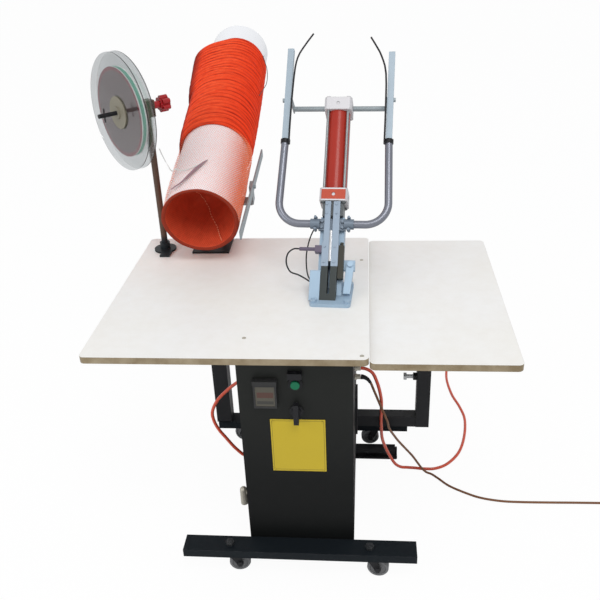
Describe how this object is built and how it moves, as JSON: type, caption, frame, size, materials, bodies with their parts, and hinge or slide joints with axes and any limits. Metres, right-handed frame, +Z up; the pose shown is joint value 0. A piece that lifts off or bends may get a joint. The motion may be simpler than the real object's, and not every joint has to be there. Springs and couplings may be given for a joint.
{
  "type": "net bag clipper on castor stand",
  "caption": "Net bag clipping machine on a castor stand with two cream work tables, a net-covered loading tube, a tape reel and an inclined pneumatic clipper.",
  "frame": {"origin": "on the floor, below the middle of the machine's bounding box without its cords", "axes": "+Z up; +Y from the front of the tables towards the back end of the net tube; +X to the right, seen from the front"},
  "size_m": [1.5211, 1.3207, 1.1202],
  "materials": {
    "beam_steel": "satin",
    "zinc": "satin",
    "black_paint": "satin",
    "castor_tread": "matt",
    "cabinet_paint": "textured powder coat",
    "board": "laminate",
    "counter_case": "satin",
    "black_plastic": "satin",
    "green_plastic": "glossy",
    "plate_yellow": "satin",
    "brass": "satin",
    "fitting_grey": "satin",
    "post_brown": "satin",
    "knob_red": "glossy",
    "clear_disc": "clear plastic",
    "tape": "satin",
    "hub_beige": "satin",
    "pvc": "glossy",
    "net": "knitted net",
    "steel_grey": "satin",
    "light_blue": "satin",
    "dark_steel": "satin",
    "rail_steel": "satin",
    "cap_alu": "satin",
    "barrel_red": "glossy",
    "chrome": "polished",
    "channel_alu": "satin",
    "mag_zinc": "satin",
    "sensor_body": "satin",
    "olive": "satin",
    "hose_red": "satin",
    "cable_brown": "satin",
    "cable_black": "satin"
  },
  "bodies": {
    "stand": {"base_beams": "beam_steel", "castor_mounts": "zinc", "cabinet_shell": "cabinet_paint", "table_supports": "black_paint", "main_table": "board", "counter": "counter_case", "control_bezels": "black_plastic", "rating_plate": "plate_yellow", "cabinet_fittings": "brass", "air_panel": "fitting_grey", "pedal_base": "black_plastic", "reel_stand": "post_brown", "reel_axle": "black_paint", "tube_support": "black_paint", "clipper_base": "light_blue", "die_block": "dark_steel", "clip_rails": "rail_steel", "magazine_yoke": "steel_grey", "cylinder_caps": "cap_alu", "cylinder_barrel": "barrel_red", "tie_rods": "zinc", "magazine_tubes": "mag_zinc", "magazine_channels": "channel_alu", "pusher_wires": "black_paint", "crossbar": "steel_grey", "sensor": "sensor_body", "knife_cylinder": "olive", "air_hose": "hose_red", "air_hose_coil": "hose_red", "hose_connector": "zinc", "hose_loop": "hose_red", "mains_cable": "cable_brown", "mains_coil": "cable_brown", "mains_plug": "black_plastic", "clipper_leads": "cable_black"},
    "swivel_fl": {"castor_fork_fl": "black_paint"},
    "swivel_fr": {"castor_fork_fr": "black_paint"},
    "swivel_rl": {"castor_fork_rl": "black_paint"},
    "swivel_rr": {"castor_fork_rr": "black_paint"},
    "wheel_fl": {"castor_wheel_fl": "castor_tread"},
    "wheel_fr": {"castor_wheel_fr": "castor_tread"},
    "wheel_rl": {"castor_wheel_rl": "castor_tread"},
    "wheel_rr": {"castor_wheel_rr": "castor_tread"},
    "door": {"rear_door": "cabinet_paint"},
    "latch": {"door_latch": "zinc"},
    "right_deck": {"table_post": "black_paint", "right_table": "board"},
    "clamp_screw": {"clamp_screw": "zinc"},
    "start_button": {"start_button": "green_plastic"},
    "selector": {"selector_knob": "black_plastic"},
    "treadle": {"pedal_treadle": "black_plastic"},
    "reel_knob": {"reel_knob": "knob_red"},
    "reel": {"reel_discs": "clear_disc", "tape_roll": "tape", "reel_hub": "hub_beige"},
    "net_tube": {"pvc_tube": "pvc", "net_sleeve": "net", "tube_saddle": "steel_grey"},
    "ram": {"ram": "chrome"},
    "knife_arm": {"knife_arm": "light_blue"}
  },
  "joints": [
    {"name": "castor_swivel_fl", "type": "hinge", "parent": "stand", "child": "swivel_fl", "pos_m": [-0.12987, -0.63635, 0.064], "axis": [0, 0, 1], "continuous": true},
    {"name": "castor_spin_fl", "type": "hinge", "parent": "swivel_fl", "child": "wheel_fl", "pos_m": [-0.11007, -0.63356, 0.025], "axis": [-0.1392, 0.9903, 0], "continuous": true},
    {"name": "castor_swivel_fr", "type": "hinge", "parent": "stand", "child": "swivel_fr", "pos_m": [0.19613, -0.63635, 0.064], "axis": [0, 0, 1], "continuous": true},
    {"name": "castor_spin_fr", "type": "hinge", "parent": "swivel_fr", "child": "wheel_fr", "pos_m": [0.21602, -0.63843, 0.025], "axis": [0.1045, 0.9945, 0], "continuous": true},
    {"name": "castor_swivel_rl", "type": "hinge", "parent": "stand", "child": "swivel_rl", "pos_m": [-0.15287, -0.15035, 0.064], "axis": [0, 0, 1], "continuous": true},
    {"name": "castor_spin_rl", "type": "hinge", "parent": "swivel_rl", "child": "wheel_rl", "pos_m": [-0.17219, -0.14517, 0.025], "axis": [-0.2588, -0.9659, 0], "continuous": true},
    {"name": "castor_swivel_rr", "type": "hinge", "parent": "stand", "child": "swivel_rr", "pos_m": [0.21913, -0.15035, 0.064], "axis": [0, 0, 1], "continuous": true},
    {"name": "castor_spin_rr", "type": "hinge", "parent": "swivel_rr", "child": "wheel_rr", "pos_m": [0.19918, -0.15174, 0.025], "axis": [0.0698, -0.9976, 0], "continuous": true},
    {"name": "door_hinge", "type": "hinge", "parent": "stand", "child": "door", "pos_m": [0.15213, -0.16734, 0.34], "axis": [0, 0, -1], "range_deg": [0, 110]},
    {"name": "latch_turn", "type": "hinge", "parent": "door", "child": "latch", "pos_m": [-0.05187, -0.17434, 0.34], "axis": [0, -1, 0], "range_deg": [0, 90]},
    {"name": "deck_slide", "type": "slide", "parent": "stand", "child": "right_deck", "axis": [0, 0, 1], "range_m": [-0.06, 0.04]},
    {"name": "clamp_turn", "type": "hinge", "parent": "stand", "child": "clamp_screw", "pos_m": [0.30713, -0.35535, 0.367], "axis": [1, 0, 0], "range_deg": [0, 360]},
    {"name": "button_press", "type": "slide", "parent": "stand", "child": "start_button", "axis": [0, 1, 0], "range_m": [0, 0.004], "stiffness_N_per_m": 900, "springref_m": -0.0005},
    {"name": "selector_turn", "type": "hinge", "parent": "stand", "child": "selector", "pos_m": [0.03963, -0.61235, 0.447], "axis": [0, 1, 0], "range_deg": [-45, 45]},
    {"name": "treadle_hinge", "type": "hinge", "parent": "stand", "child": "treadle", "pos_m": [0.21413, -0.20234, 0.017], "axis": [1, 0, 0], "range_deg": [0, 12], "stiffness_Nm_per_rad": 4, "springref_deg": -3.44},
    {"name": "reel_spin", "type": "hinge", "parent": "stand", "child": "reel", "pos_m": [-0.38987, -0.16534, 0.98], "axis": [-0.7133, -0.7009, 0], "continuous": true},
    {"name": "reel_knob_turn", "type": "hinge", "parent": "stand", "child": "reel_knob", "pos_m": [-0.31855, -0.09525, 0.98], "axis": [-0.7133, -0.7009, 0], "continuous": true},
    {"name": "tube_tilt", "type": "hinge", "parent": "stand", "child": "net_tube", "pos_m": [-0.21796, -0.08036, 0.652], "axis": [0.9999, 0.014, 0], "range_deg": [-5, 5]},
    {"name": "ram_stroke", "type": "slide", "parent": "stand", "child": "ram", "axis": [-0.0392, -0.6416, -0.766], "range_m": [0, 0.04]},
    {"name": "knife_swing", "type": "hinge", "parent": "stand", "child": "knife_arm", "pos_m": [0.15036, -0.35963, 0.67164], "axis": [-0.0468, -0.7646, 0.6428], "range_deg": [0, 5.2]}
  ],
  "couplings": [
    {"joint": "knife_swing", "follows": "ram_stroke", "rad_per_m": 2.1817}
  ]
}
